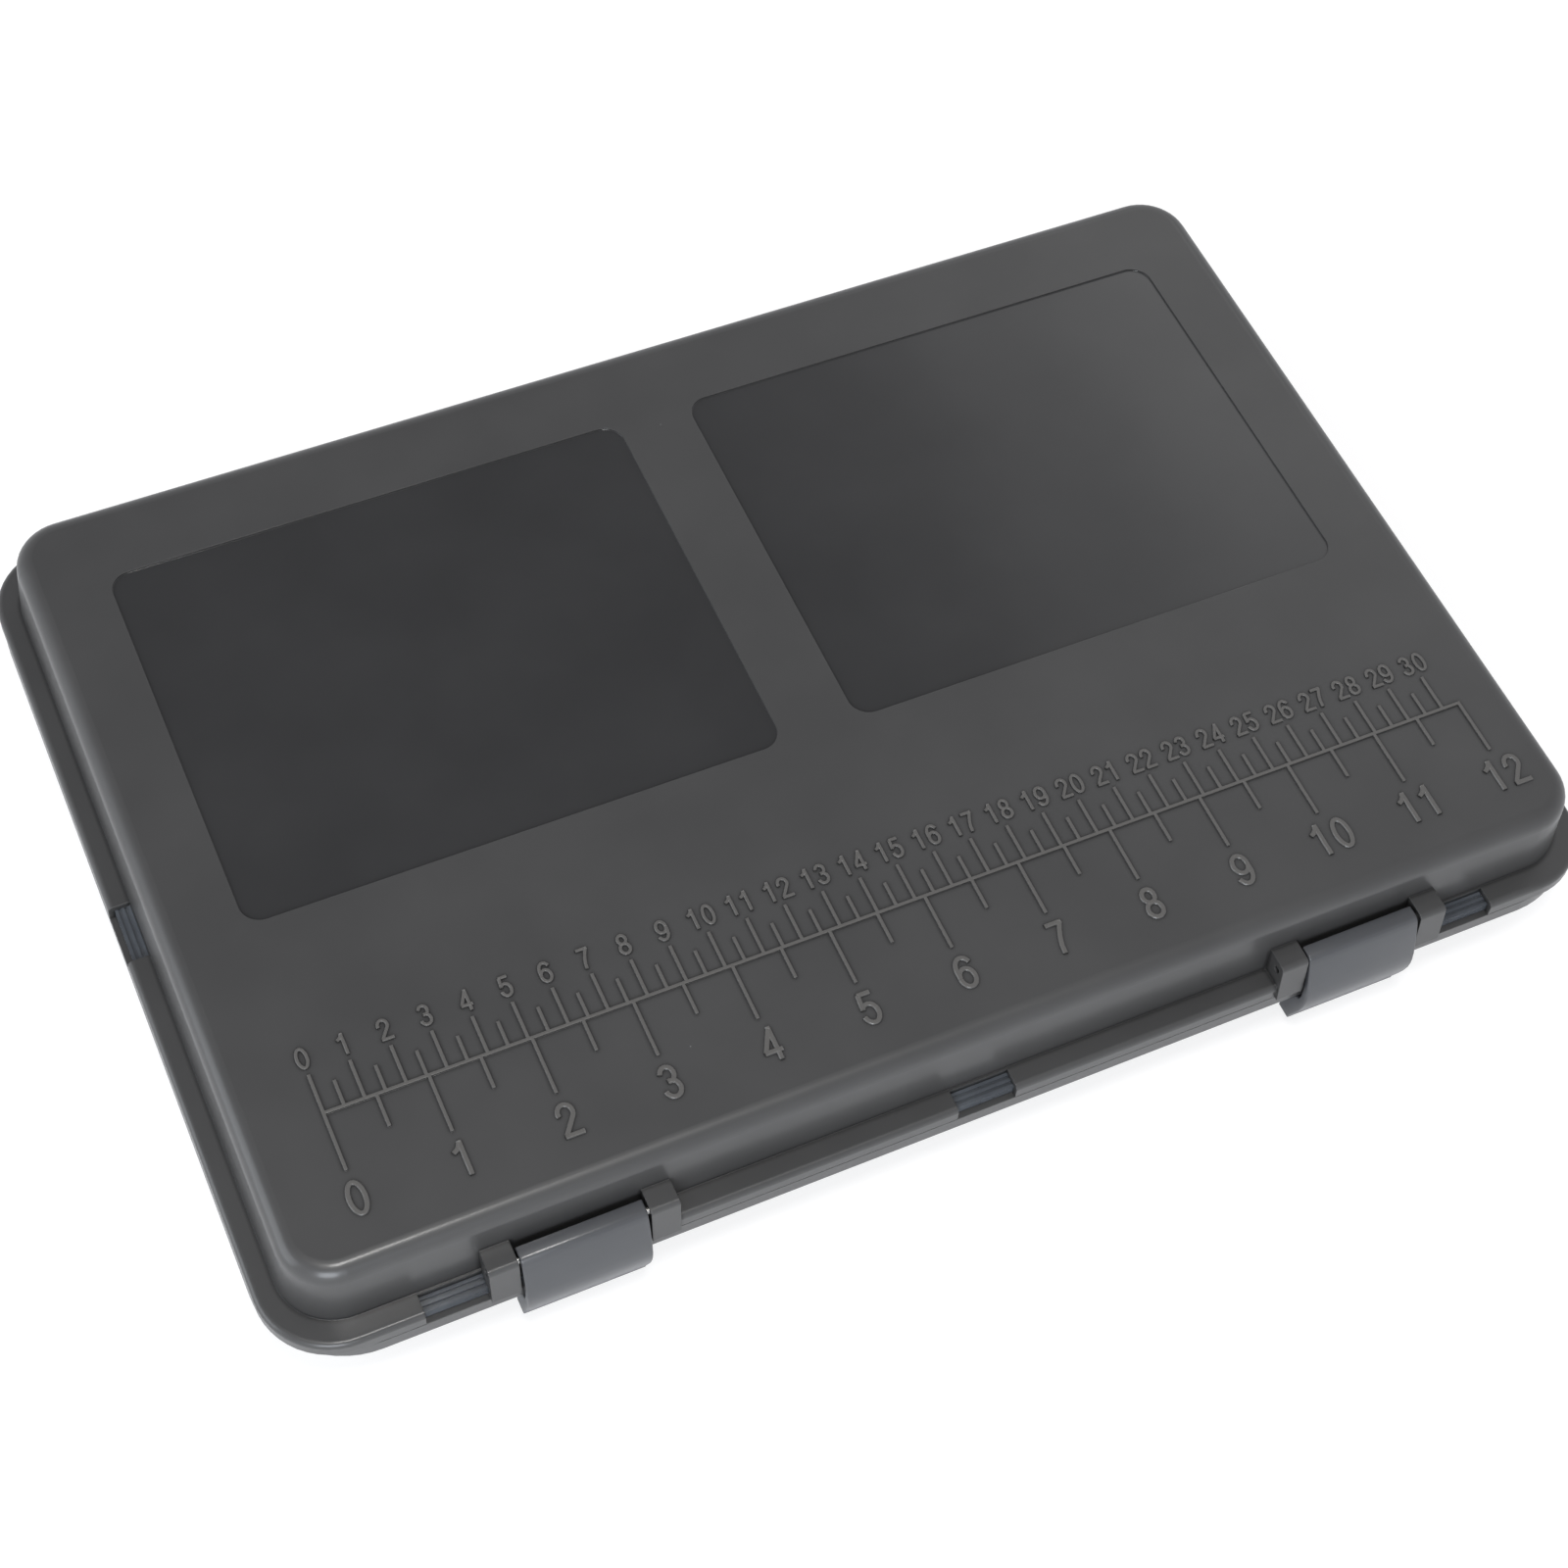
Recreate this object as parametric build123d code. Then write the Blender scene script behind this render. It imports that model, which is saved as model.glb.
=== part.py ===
from build123d import *
import math
import os

# A flat storage box for ready-tied fishing rigs, closed, in millimetres.
# X runs along its length, Y towards the hinges at the back, and Z up from the underside.

# The closed box
BOX_HEIGHT = 46.0
FLANGE_LENGTH = 355.0
FLANGE_DEPTH = 242.0
FLANGE_RADIUS = 19.0
WALL = 2.0

# The two rims, which meet at the parting line
RIM_TOP = 26.0
PARTING_Z = 21.3
PARTING_GAP = 0.3
BASE_RIM_LOW = 16.4
BASE_RIM_RADIUS = 24.0
RIM_ROUND = 1.5

# The lid's raised cover
COVER_LENGTH = 343.5
COVER_DEPTH = 229.5
COVER_RADIUS = 14.5
COVER_DRAFT = 5.0
COVER_ROUND = 4.5
INSIDE_ROUND = 2.0

# The base's pan
PAN_LENGTH = 340.0
PAN_DEPTH = 226.0
PAN_RADIUS = 13.0
PAN_DRAFT = 3.2
PAN_ROUND = 3.0

# The seal and the channel under the lid's rim that holds it
CHANNEL_ROOF = 24.4
OUTER_LIP = 1.5
CHANNEL_WIDTH = 4.1
SEAL_PLAY = 0.05
SEAL_RIDGE_WIDTH = 0.8
SEAL_RIDGE_HEIGHT = 0.5

# Windows through the lid's rim, where the seal shows
WINDOW_WIDTH = 15.6
SIDE_WINDOW_WIDTH = 16.0

# The two shallow glossy panels in the lid's top
PANEL_LENGTH = 140.0
PANEL_DEPTH = 110.0
PANEL_GAP = 20.0
PANEL_CENTRE_Y = 34.4
PANEL_RADIUS = 5.5
PANEL_SINK = 0.5

# The raised ruler in front of the panels
RULER_START_X = -149.3
RULER_Y = -74.0
LINE_WIDTH = 0.8
LINE_HEIGHT = 0.45
CM = 10.0
INCH = 25.4
CM_COUNT = 30
INCH_COUNT = 12
CM_TICK = 10.5
HALF_CM_TICK = 7.0
INCH_TICK = 15.4
HALF_INCH_TICK = 8.75

# The latches, which hang on pins between two lugs of the lid
LATCH_X = 103.8
LATCH_WIDTH = 31.3
LATCH_PIN_Y = -118.3
LATCH_PIN_Z = 31.0
LATCH_PIN_RADIUS = 1.0
LATCH_PIN_LENGTH = 45.0
LATCH_BOW = 26.4
LATCH_FRONT_Y = -124.2
LATCH_MID_Z = 17.6
LATCH_THICKNESS = 2.2
LATCH_LOW = 4.2
LATCH_BARREL = 2.7
LATCH_HEAD_TOP = 33.7
LATCH_HEAD_BACK = 2.2
LATCH_HEAD_FRONT = 1.4
LATCH_HEAD_ROUND = 0.9
BEAD_RADIUS = 0.9
BEAD_Z = 15.2
BEAD_GAP = 0.3
BEAD_SHORT = 2.5
LUG_WIDTH = 7.3
LUG_TOP = 34.0
LUG_TOP_Y = -120.5
LUG_FOOT_Y = -122.1
LUG_ROUND = 1.4
LATCH_SIDE_GAP = 0.6
RUNNING_PLAY = 0.05

# The hinges along the back
HINGE_X = 103.8
HINGE_Y = 125.0
HINGE_Z = 23.4
KNUCKLE_RADIUS = 3.2
MIDDLE_KNUCKLE = 14.0
SIDE_KNUCKLE = 8.0
KNUCKLE_GAP = 0.3
HINGE_PIN_RADIUS = 1.25
HINGE_PIN_RECESS = 0.5

# What the box holds: rails with slotted foam, pins, mats and the lid's liner
RAIL_X = 158.0
RAIL_WIDTH = 16.0
RAIL_LENGTH = 200.0
RAIL_HEIGHT = 7.0
RAIL_WALL = 1.5
FOAM_TOP = 18.0
SLOT_PITCH = 10.0
SLOT_WIDTH = 1.0
SLOT_DEPTH = 5.0
PIN_COUNT = 9
PIN_PITCH = 20.0
PIN_SHAFT_RADIUS = 0.6
PIN_POINT_Z = 9.0
PIN_NECK_Z = 21.0
PIN_HEAD_RADIUS = 2.0
PIN_HEAD_HEIGHT = 3.2
MAT_THICKNESS = 1.5
MAT_GAP = 1.0
MAT_DEPTH = 214.0
MAT_RADIUS = 3.0
LINER_THICKNESS = 2.0
LINER_LENGTH = 328.0
LINER_DEPTH = 214.0
LINER_RADIUS = 8.0

# Heights and lines that follow from the values above
LID_LOW = PARTING_Z + PARTING_GAP
LID_INSIDE_TOP = BOX_HEIGHT - WALL
FRONT_Y = -FLANGE_DEPTH / 2
BACK_Y = FLANGE_DEPTH / 2
CHANNEL_INSET = OUTER_LIP + CHANNEL_WIDTH
WINDOW_LINE = CHANNEL_INSET + SEAL_PLAY
HINGE_HALF = MIDDLE_KNUCKLE / 2 + KNUCKLE_GAP + SIDE_KNUCKLE
LUG_INNER = LATCH_WIDTH / 2 + LATCH_SIDE_GAP
LUG_OUTER = LUG_INNER + LUG_WIDTH
SMALL = 0.01


def block(x_range, y_range, z_range):
    """A box between two limits on each axis."""
    sizes = [limits[1] - limits[0] for limits in (x_range, y_range, z_range)]
    middle = [(limits[0] + limits[1]) / 2 for limits in (x_range, y_range, z_range)]
    return Pos(*middle) * Box(*sizes)


def slab(length, depth, radius, low, high, draft=0.0):
    """A plate with rounded corners from low to high, drawn in by draft degrees as it rises."""
    plate = extrude(RectangleRounded(length, depth, radius), amount=high - low, taper=draft)
    return Pos(0, 0, low) * plate


def rim_slab(inset, low, high):
    """A plate whose outline is the rim's own, moved in by inset."""
    return slab(FLANGE_LENGTH - 2 * inset, FLANGE_DEPTH - 2 * inset, FLANGE_RADIUS - inset, low, high)


def rod(x_range, y, z, radius):
    """A round bar along X."""
    length = x_range[1] - x_range[0]
    middle = (x_range[0] + x_range[1]) / 2
    return Pos(middle, y, z) * Cylinder(radius, length, rotation=(0, 90, 0))


def bar(section, x_range):
    """A bar along X with the section given in Y and Z."""
    length = x_range[1] - x_range[0]
    return Pos(x_range[0], 0, 0) * extrude(Plane.YZ * section, amount=length)


def outline(points):
    """A closed flat shape through the points."""
    return make_face(Polyline(*points, close=True))


def span(centre, near, far, side):
    """The X limits from near to far off a centre, on its left (-1) or right (1)."""
    return tuple(sorted((centre + side * near, centre + side * far)))


# Base


def base_knuckles(centre):
    """The two outer knuckles of one hinge, on feet that grow out of the base's rim."""
    knuckles = []
    for side in (-1, 1):
        reach = span(centre, MIDDLE_KNUCKLE / 2 + KNUCKLE_GAP, HINGE_HALF, side)
        across = (HINGE_Y - KNUCKLE_RADIUS, HINGE_Y + KNUCKLE_RADIUS)
        knuckles.append(rod(reach, HINGE_Y, HINGE_Z, KNUCKLE_RADIUS))
        knuckles.append(block(reach, across, (BASE_RIM_LOW, HINGE_Z)))
        knuckles.append(block(reach, (BACK_Y - WALL, HINGE_Y), (BASE_RIM_LOW, PARTING_Z)))
    return knuckles


def make_base_tray():
    """The lower half: a pan with a flat rim, open at the top, and half of each hinge."""
    pan = slab(PAN_LENGTH, PAN_DEPTH, PAN_RADIUS, 0, BASE_RIM_LOW, -PAN_DRAFT)
    pan = fillet(pan.edges().group_by(Axis.Z)[0], PAN_ROUND)
    rim = slab(FLANGE_LENGTH, FLANGE_DEPTH, BASE_RIM_RADIUS, BASE_RIM_LOW, PARTING_Z)
    rim = fillet(rim.edges().group_by(Axis.Z)[0], RIM_ROUND / 2)
    length = PAN_LENGTH - 2 * WALL
    depth = PAN_DEPTH - 2 * WALL
    hollow = slab(length, depth, PAN_RADIUS - WALL, WALL, PARTING_Z + 1, -PAN_DRAFT)
    hollow = fillet(hollow.edges().group_by(Axis.Z)[0], INSIDE_ROUND)
    tray = pan + rim
    for side in (-1, 1):
        for piece in base_knuckles(side * HINGE_X):
            tray += piece
    tray -= hollow
    for side in (-1, 1):
        reach = (side * HINGE_X - HINGE_HALF - 1, side * HINGE_X + HINGE_HALF + 1)
        tray -= rod(reach, HINGE_Y, HINGE_Z, HINGE_PIN_RADIUS)
    return tray


# Lid


def lug(centre, side):
    """One of the two ears of the lid that a latch hangs between."""
    root_y = -(COVER_DEPTH / 2 - WALL + 0.5)
    section = outline([
        (root_y, LID_LOW),
        (LUG_FOOT_Y, LID_LOW),
        (LUG_TOP_Y, LUG_TOP),
        (root_y, LUG_TOP),
    ])
    corner = section.vertices().sort_by(Axis.Y)[-2:].sort_by(Axis.X)[0]
    section = fillet(corner, LUG_ROUND)
    return bar(section, span(centre, LUG_INNER, LUG_OUTER, side))


def lid_knuckle(centre):
    """The middle knuckle of one hinge, with the web that joins it to the lid's rim."""
    reach = (centre - MIDDLE_KNUCKLE / 2, centre + MIDDLE_KNUCKLE / 2)
    web = block(reach, (BACK_Y - OUTER_LIP, HINGE_Y), (LID_LOW + 1.2, RIM_TOP))
    return web + rod(reach, HINGE_Y, HINGE_Z, KNUCKLE_RADIUS)


def lid_windows():
    """The cutters of the gaps in the lid's rim: three in front and one at each end."""
    heights = (LID_LOW - 1, RIM_TOP + 1)
    front = (FRONT_Y - 1, FRONT_Y + WINDOW_LINE)
    outer_start = LATCH_X + LUG_OUTER
    cutters = [block((-WINDOW_WIDTH / 2, WINDOW_WIDTH / 2), front, heights)]
    for side in (-1, 1):
        cutters.append(block(span(0, outer_start, outer_start + WINDOW_WIDTH, side), front, heights))
        end_x = FLANGE_LENGTH / 2
        across = span(0, end_x - WINDOW_LINE, end_x + 1, side)
        cutters.append(block(across, (-SIDE_WINDOW_WIDTH / 2, SIDE_WINDOW_WIDTH / 2), heights))
    return cutters


def ruler():
    """The raised lines: a base line with centimetres behind it and inches in front."""
    length = INCH_COUNT * INCH
    lines = [Pos(RULER_START_X + length / 2, RULER_Y) * Rectangle(length + LINE_WIDTH, LINE_WIDTH)]
    scales = ((CM, CM_COUNT, CM_TICK, HALF_CM_TICK, 1), (INCH, INCH_COUNT, INCH_TICK, HALF_INCH_TICK, -1))
    for step, count, whole, half, side in scales:
        for index in range(2 * count + 1):
            tall = half if index % 2 else whole
            x = RULER_START_X + index * step / 2
            lines.append(Pos(x, RULER_Y + side * tall / 2) * Rectangle(LINE_WIDTH, tall))
    sketch = Sketch() + lines
    return Pos(0, 0, BOX_HEIGHT - SMALL) * extrude(sketch, amount=LINE_HEIGHT + SMALL)


def make_lid_shell():
    """The upper half: a drafted cover on a rim, with panels, ruler, lugs and hinge knuckles."""
    cover = slab(COVER_LENGTH, COVER_DEPTH, COVER_RADIUS, RIM_TOP - SMALL, BOX_HEIGHT, COVER_DRAFT)
    cover = fillet(cover.edges().group_by(Axis.Z)[-1], COVER_ROUND)
    rim = rim_slab(0, LID_LOW, RIM_TOP)
    rim = fillet(rim.edges().group_by(Axis.Z)[-1], RIM_ROUND)
    lid = cover + rim
    for cutter in lid_windows():
        lid -= cutter
    for centre in (-LATCH_X, LATCH_X):
        latch_room = (centre - LUG_INNER, centre + LUG_INNER)
        lid -= block(latch_room, (FRONT_Y - 1, FRONT_Y + OUTER_LIP), (LID_LOW - 1, RIM_TOP + 1))
        for side in (-1, 1):
            lid += lug(centre, side)
    for centre in (-HINGE_X, HINGE_X):
        lid += lid_knuckle(centre)
    length = COVER_LENGTH - 2 * WALL
    depth = COVER_DEPTH - 2 * WALL
    hollow = slab(length, depth, COVER_RADIUS - WALL, RIM_TOP, LID_INSIDE_TOP, COVER_DRAFT)
    hollow = fillet(hollow.edges().group_by(Axis.Z)[-1], INSIDE_ROUND)
    lid -= hollow
    lid -= slab(length, depth, COVER_RADIUS - WALL, LID_LOW - 1, RIM_TOP)
    lid -= rim_slab(OUTER_LIP, LID_LOW - 1, CHANNEL_ROOF) - rim_slab(CHANNEL_INSET, LID_LOW - 1, CHANNEL_ROOF)
    for side in (-1, 1):
        centre_x = side * (PANEL_LENGTH + PANEL_GAP) / 2
        panel = slab(PANEL_LENGTH, PANEL_DEPTH, PANEL_RADIUS, BOX_HEIGHT - PANEL_SINK, BOX_HEIGHT + 1)
        lid -= Pos(centre_x, PANEL_CENTRE_Y, 0) * panel
    for centre in (-LATCH_X, LATCH_X):
        reach = (centre - LUG_OUTER - 1, centre + LUG_OUTER + 1)
        lid -= rod(reach, LATCH_PIN_Y, LATCH_PIN_Z, LATCH_PIN_RADIUS)
    for centre in (-HINGE_X, HINGE_X):
        reach = (centre - MIDDLE_KNUCKLE, centre + MIDDLE_KNUCKLE)
        lid -= rod(reach, HINGE_Y, HINGE_Z, HINGE_PIN_RADIUS + RUNNING_PLAY)
    return lid + ruler()


def make_lid_seal():
    """The rubber ring in the lid's channel, with three ridges along its top."""
    outer = OUTER_LIP + SEAL_PLAY
    inner = CHANNEL_INSET - SEAL_PLAY
    low = LID_LOW + SEAL_PLAY
    seal = rim_slab(outer, low, CHANNEL_ROOF) - rim_slab(inner, low, CHANNEL_ROOF)
    groove = (inner - outer - 3 * SEAL_RIDGE_WIDTH) / 2
    floor = CHANNEL_ROOF - SEAL_RIDGE_HEIGHT
    for index in range(2):
        start = outer + SEAL_RIDGE_WIDTH + index * (groove + SEAL_RIDGE_WIDTH)
        ring = rim_slab(start, floor, CHANNEL_ROOF + 1)
        seal -= ring - rim_slab(start + groove, floor, CHANNEL_ROOF + 1)
    return seal


def make_lid_liner():
    """The foam sheet stuck inside the top of the lid."""
    low = LID_INSIDE_TOP - LINER_THICKNESS
    return slab(LINER_LENGTH, LINER_DEPTH, LINER_RADIUS, low, LID_INSIDE_TOP)


# Latches and pins


def make_latch(centre):
    """A bowed plate that hangs from its pin, with a bead that rides over the base's rim."""
    bow_y = LATCH_FRONT_Y + LATCH_BOW
    bow = Pos(bow_y, LATCH_MID_Z) * (Circle(LATCH_BOW) - Circle(LATCH_BOW - LATCH_THICKNESS))
    front = (LATCH_FRONT_Y + LATCH_PIN_Y) / 2
    tall = LATCH_PIN_Z - LATCH_LOW
    plate = bow & (Pos(front, LATCH_LOW + tall / 2) * Rectangle(LATCH_PIN_Y - LATCH_FRONT_Y + 1, tall))
    front_drop = math.sqrt(LATCH_BOW**2 - (LATCH_PIN_Z - LATCH_MID_Z) ** 2)
    shoulder = bow_y - front_drop
    head = outline([
        (LATCH_PIN_Y + LATCH_HEAD_BACK, LATCH_HEAD_TOP),
        (LATCH_PIN_Y - LATCH_HEAD_FRONT, LATCH_HEAD_TOP),
        (shoulder, LATCH_PIN_Z),
        (shoulder + LATCH_THICKNESS / 2, LATCH_PIN_Z - LATCH_BARREL),
        (LATCH_PIN_Y, LATCH_PIN_Z - LATCH_BARREL),
        (LATCH_PIN_Y + LATCH_BARREL, LATCH_PIN_Z),
    ])
    head = fillet(head.vertices().group_by(Axis.Y)[-1], LATCH_HEAD_ROUND)
    barrel = Pos(LATCH_PIN_Y, LATCH_PIN_Z) * Circle(LATCH_BARREL)
    section = plate + head + barrel
    reach = (centre - LATCH_WIDTH / 2, centre + LATCH_WIDTH / 2)
    latch = bar(section, reach)
    bead_y = FRONT_Y - BEAD_GAP - BEAD_RADIUS
    latch += rod((reach[0] + BEAD_SHORT, reach[1] - BEAD_SHORT), bead_y, BEAD_Z, BEAD_RADIUS)
    bore = rod((reach[0] - 1, reach[1] + 1), LATCH_PIN_Y, LATCH_PIN_Z, LATCH_PIN_RADIUS + RUNNING_PLAY)
    return latch - bore


def make_latch_pin(centre):
    """The steel pin through the two lugs and the latch's barrel."""
    half = LATCH_PIN_LENGTH / 2
    return rod((centre - half, centre + half), LATCH_PIN_Y, LATCH_PIN_Z, LATCH_PIN_RADIUS)


def make_hinge_pin(centre):
    """The steel pin through the three knuckles of a hinge."""
    half = HINGE_HALF - HINGE_PIN_RECESS
    return rod((centre - half, centre + half), HINGE_Y, HINGE_Z, HINGE_PIN_RADIUS)


# Contents


def pin_places():
    """The Y places of the pins along a foam strip."""
    return [(index - (PIN_COUNT - 1) / 2) * PIN_PITCH for index in range(PIN_COUNT)]


def make_rail(centre):
    """A channel along Y that stands on the floor of the tray and holds a foam strip."""
    half = RAIL_WIDTH / 2
    across = (centre - half, centre + half)
    rail = block(across, (-RAIL_LENGTH / 2, RAIL_LENGTH / 2), (WALL, WALL + RAIL_HEIGHT))
    inner = (across[0] + RAIL_WALL, across[1] - RAIL_WALL)
    along = (-RAIL_LENGTH / 2 + RAIL_WALL, RAIL_LENGTH / 2 - RAIL_WALL)
    rail -= block(inner, along, (WALL + RAIL_WALL, WALL + RAIL_HEIGHT + 1))
    return rail


def make_foam_strip(centre, has_pins):
    """A foam strip cut with slots that grip the line, and holes where pins stand."""
    half = RAIL_WIDTH / 2 - RAIL_WALL
    across = (centre - half, centre + half)
    end = RAIL_LENGTH / 2 - RAIL_WALL
    strip = block(across, (-end, end), (WALL + RAIL_WALL, FOAM_TOP))
    slots = int(RAIL_LENGTH / SLOT_PITCH)
    for index in range(slots):
        y = (index - (slots - 1) / 2) * SLOT_PITCH
        near = (y - SLOT_WIDTH / 2, y + SLOT_WIDTH / 2)
        strip -= block((across[0] - 1, across[1] + 1), near, (FOAM_TOP - SLOT_DEPTH, FOAM_TOP + 1))
    if has_pins:
        for y in pin_places():
            depth = FOAM_TOP - PIN_POINT_Z
            strip -= Pos(centre, y, FOAM_TOP - depth / 2) * Cylinder(PIN_SHAFT_RADIUS, depth)
    return strip


def make_rig_pins(centre):
    """The pins that stand in a foam strip, each a steel shaft in a round head."""
    pins = []
    for y in pin_places():
        shaft = Cylinder(PIN_SHAFT_RADIUS, PIN_NECK_Z - PIN_POINT_Z)
        shaft = Pos(centre, y, (PIN_NECK_Z + PIN_POINT_Z) / 2) * shaft
        head = Pos(centre, y, PIN_NECK_Z + PIN_HEAD_HEIGHT / 2) * Cylinder(PIN_HEAD_RADIUS, PIN_HEAD_HEIGHT)
        head = fillet(head.edges(), PIN_HEAD_RADIUS / 2.5)
        pins.append(shaft + head)
    return Compound(children=[pin.solid() for pin in pins])


def make_base_mat(side):
    """A thin foam mat on the floor of the tray, between two rails."""
    near = RAIL_WIDTH / 2 + MAT_GAP
    far = RAIL_X - RAIL_WIDTH / 2 - MAT_GAP
    mat = slab(far - near, MAT_DEPTH, MAT_RADIUS, WALL, WALL + MAT_THICKNESS)
    return Pos(side * (near + far) / 2, 0, 0) * mat


PARTS = {
    "base_tray": make_base_tray(),
    "lid_shell": make_lid_shell(),
    "lid_seal": make_lid_seal(),
    "lid_liner": make_lid_liner(),
    "latch_left": make_latch(-LATCH_X),
    "latch_right": make_latch(LATCH_X),
    "latch_pin_left": make_latch_pin(-LATCH_X),
    "latch_pin_right": make_latch_pin(LATCH_X),
    "hinge_pin_left": make_hinge_pin(-HINGE_X),
    "hinge_pin_right": make_hinge_pin(HINGE_X),
    "rail_left": make_rail(-RAIL_X),
    "rail_centre": make_rail(0),
    "rail_right": make_rail(RAIL_X),
    "foam_strip_left": make_foam_strip(-RAIL_X, True),
    "foam_strip_centre": make_foam_strip(0, False),
    "foam_strip_right": make_foam_strip(RAIL_X, True),
    "rig_pins_left": make_rig_pins(-RAIL_X),
    "rig_pins_right": make_rig_pins(RAIL_X),
    "base_mat_left": make_base_mat(-1),
    "base_mat_right": make_base_mat(1),
}

os.makedirs("parts", exist_ok=True)
for name, solid in PARTS.items():
    export_step(solid, f"parts/{name}.step")
    box = solid.bounding_box()
    print(name, len(solid.solids()), [round(v, 2) for v in (*box.min, *box.max)])
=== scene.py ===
# %% [markdown]
# # A rig box, dressed for the studio
#
# The box is a flat two-part plastic case for ready-tied fishing rigs. Its lid carries two glossy
# sunk panels and a moulded ruler, it turns on two hinges at the back, and two latches hang from
# lugs at the front. The construction model gives every hard piece at its real size, so this file
# only adds what that model leaves plain: the finish of each surface, the raised numbers, the
# latches' finer shape and the slit foam inside, and then the floor, the light and the camera.

import bpy
import math
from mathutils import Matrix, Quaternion, Vector


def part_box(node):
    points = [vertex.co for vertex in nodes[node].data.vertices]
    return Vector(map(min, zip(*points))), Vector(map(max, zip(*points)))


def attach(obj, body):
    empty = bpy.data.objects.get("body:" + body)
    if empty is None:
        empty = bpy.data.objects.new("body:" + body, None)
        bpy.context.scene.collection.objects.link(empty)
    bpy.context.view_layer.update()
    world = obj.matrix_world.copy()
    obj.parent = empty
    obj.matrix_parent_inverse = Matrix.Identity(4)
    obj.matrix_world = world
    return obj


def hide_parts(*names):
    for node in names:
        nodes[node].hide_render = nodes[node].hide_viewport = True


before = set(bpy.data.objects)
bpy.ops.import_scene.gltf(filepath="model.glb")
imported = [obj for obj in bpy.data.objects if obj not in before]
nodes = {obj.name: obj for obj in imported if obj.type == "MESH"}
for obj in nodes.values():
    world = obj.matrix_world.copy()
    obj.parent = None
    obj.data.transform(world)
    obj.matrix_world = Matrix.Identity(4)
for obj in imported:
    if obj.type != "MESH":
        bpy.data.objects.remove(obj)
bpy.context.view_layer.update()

# %% [markdown]
# All lengths below are written in millimetres, as a mould maker would say them, and turned into
# Blender's metres by one small function. Blender's operators act on whatever is selected, and
# the loaded nodes start out selected, so a second helper clears the selection first.

# %% Units and selection
MM = 0.001


def mm(*values):
    """One length or a point in millimetres, as metres."""
    scaled = [value * MM for value in values]
    return scaled[0] if len(scaled) == 1 else Vector(scaled)


def clear_selection():
    """Leaves object mode with nothing selected."""
    if bpy.context.object and bpy.context.object.mode != "OBJECT":
        bpy.ops.object.mode_set(mode="OBJECT")
    bpy.ops.object.select_all(action="DESELECT")


def apply_place(piece):
    """Puts the piece's place, turn and size into its mesh, with its origin at the world's."""
    clear_selection()
    piece.select_set(True)
    bpy.context.view_layer.objects.active = piece
    bpy.ops.object.transform_apply(location=True, rotation=True, scale=True)


def apply_modifiers(piece):
    """Applies every modifier in order."""
    clear_selection()
    piece.select_set(True)
    bpy.context.view_layer.objects.active = piece
    for name in [modifier.name for modifier in piece.modifiers]:
        bpy.ops.object.modifier_apply(modifier=name)


# %% [markdown]
# ## The camera
#
# The photograph is taken from above the front left corner with a longish lens. The ruler on the
# lid gives true distances, so the camera's place, its target on the lid and its small roll could
# be worked out from the ruler and the panels, and are written here as plain values.

# %% Camera
CAMERA_PLACE = mm(-207.4, -368.6, 645.4)
CAMERA_TARGET = mm(-15.2, -31.8, 46.0)
CAMERA_ROLL = math.radians(6.58)
CAMERA_LENS = 66.33

camera_data = bpy.data.cameras.new("camera")
camera_data.lens = CAMERA_LENS
camera_data.sensor_width = 36.0
camera_data.clip_start = 0.01
camera = bpy.data.objects.new("camera", camera_data)
bpy.context.scene.collection.objects.link(camera)
camera.location = CAMERA_PLACE
camera.rotation_mode = "QUATERNION"
level_turn = (CAMERA_TARGET - CAMERA_PLACE).to_track_quat("-Z", "Y")
camera.rotation_quaternion = level_turn @ Quaternion((0, 0, 1), CAMERA_ROLL)
bpy.context.scene.camera = camera
print("camera", camera.location[:], "lens", camera_data.lens)

# %% [markdown]
# ## Nodes by name
#
# Every finish is a small graph of shader nodes. Two helpers keep the graphs short: one adds a node
# and fills or links its sockets, the other starts a material and returns its main shader. Patterns
# read Object coordinates, which are metres in the model's own frame, so a pattern keeps its real
# size on every piece.

# %% Shader helpers


def add_node(tree, kind, sockets=None, **settings):
    """A node of that kind. A socket takes a number, a colour, or another node's output."""
    node = tree.nodes.new(kind)
    for name, value in settings.items():
        setattr(node, name, value)
    for name, value in (sockets or {}).items():
        if isinstance(value, bpy.types.NodeSocket):
            tree.links.new(value, node.inputs[name])
        else:
            node.inputs[name].default_value = value
    return node


def math_node(tree, operation, first, second=0.0):
    """The output of one sum."""
    node = add_node(tree, "ShaderNodeMath", {0: first, 1: second}, operation=operation)
    return node.outputs[0]


def start_material(name):
    """(material, tree, shader, object coordinates) for a new finish."""
    material = bpy.data.materials.new(name)
    material.use_nodes = True
    tree = material.node_tree
    shader = tree.nodes["Principled BSDF"]
    place = tree.nodes.new("ShaderNodeTexCoord").outputs["Object"]
    return material, tree, shader, place


def noise(tree, place, size, detail=2.0, roughness=0.5):
    """Soft noise whose grains are about size millimetres across."""
    sockets = {"Vector": place, "Scale": 1.0 / mm(size), "Detail": detail, "Roughness": roughness}
    return add_node(tree, "ShaderNodeTexNoise", sockets).outputs["Fac"]


def shades(tree, factor, dark, light, low=0.0, high=1.0):
    """A colour that runs from dark to light as the factor runs from low to high."""
    ramp = add_node(tree, "ShaderNodeValToRGB", {"Fac": factor}).color_ramp
    ramp.elements[0].position = low
    ramp.elements[1].position = high
    ramp.elements[0].color = (*dark, 1.0)
    ramp.elements[1].color = (*light, 1.0)
    return tree.nodes[-1].outputs["Color"]


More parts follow.
